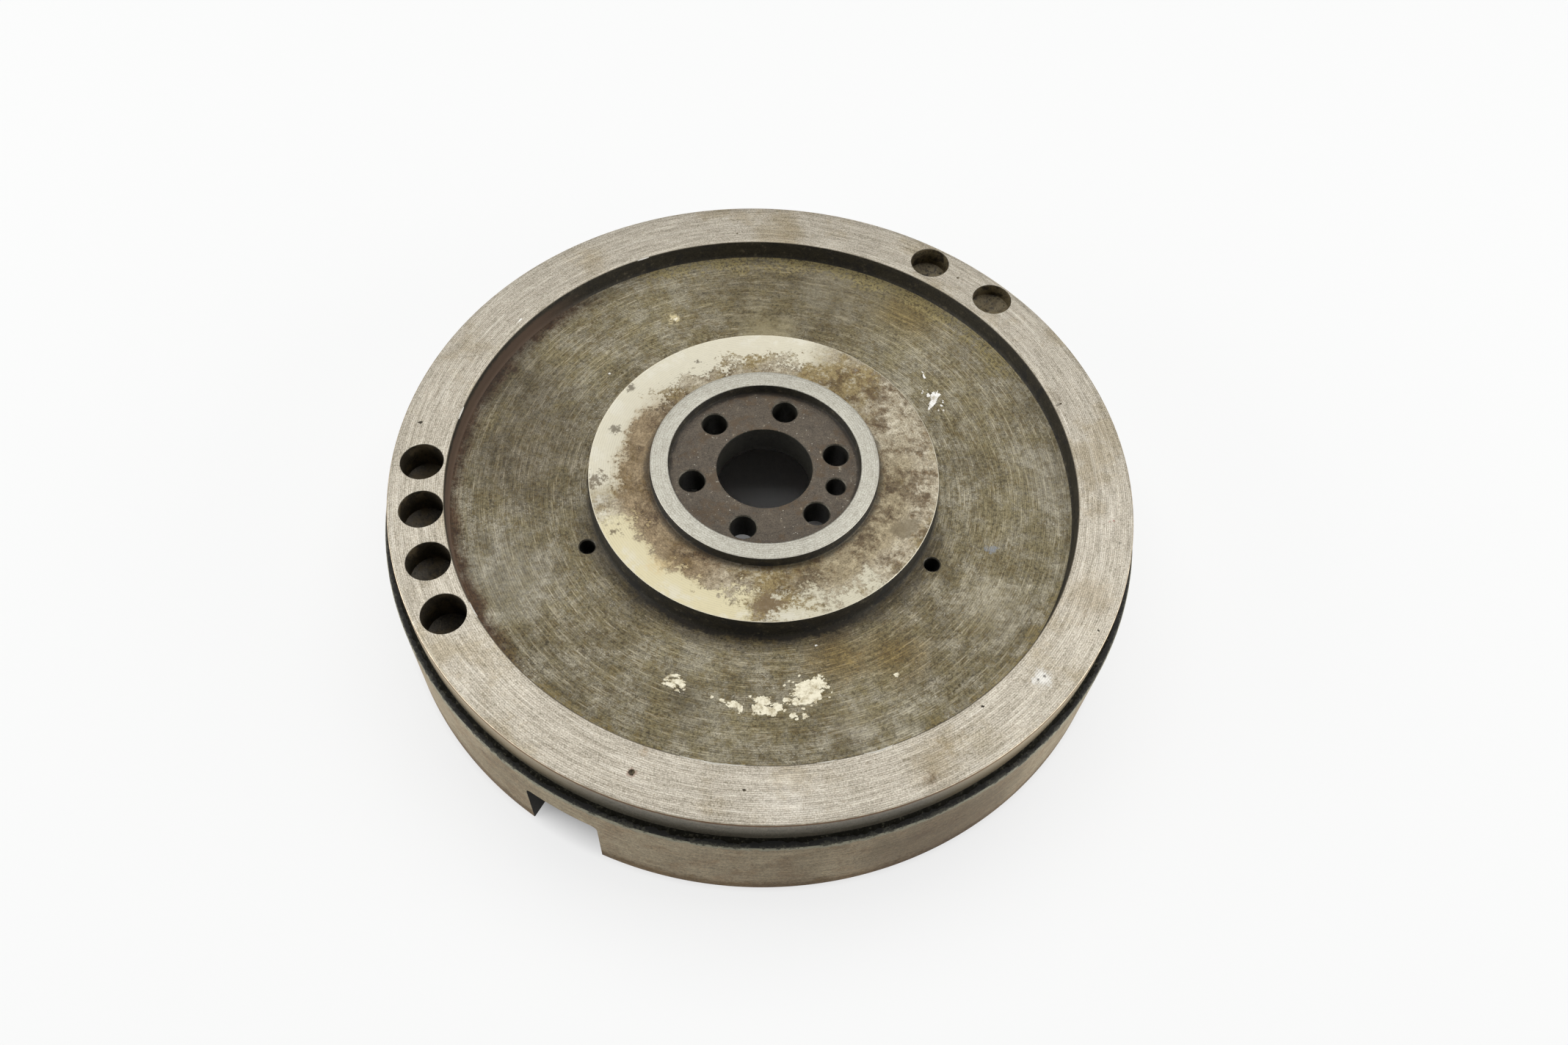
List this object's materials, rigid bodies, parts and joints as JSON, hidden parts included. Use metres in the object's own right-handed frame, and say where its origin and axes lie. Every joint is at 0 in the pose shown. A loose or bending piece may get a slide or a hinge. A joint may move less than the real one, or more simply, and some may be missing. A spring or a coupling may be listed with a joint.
{
  "type": "engine flywheel",
  "caption": "Cast-iron pot-type engine flywheel with a bare ring-gear seat, bolted hub register, balance drillings and a deep clutch-side skirt.",
  "frame": {"origin": "centre of the skirt's end, the plane that the flywheel stands on", "axes": "+Z along the shaft axis, towards the crankshaft side"},
  "size_m": [0.3068, 0.3068, 0.0635],
  "materials": {
    "machined_cast_iron": "turned, handled and lightly stained",
    "ground_steel": "hardened and ground"
  },
  "bodies": {
    "root": {"flywheel_body": "machined_cast_iron", "clutch_dowels": "ground_steel"}
  },
  "joints": []
}
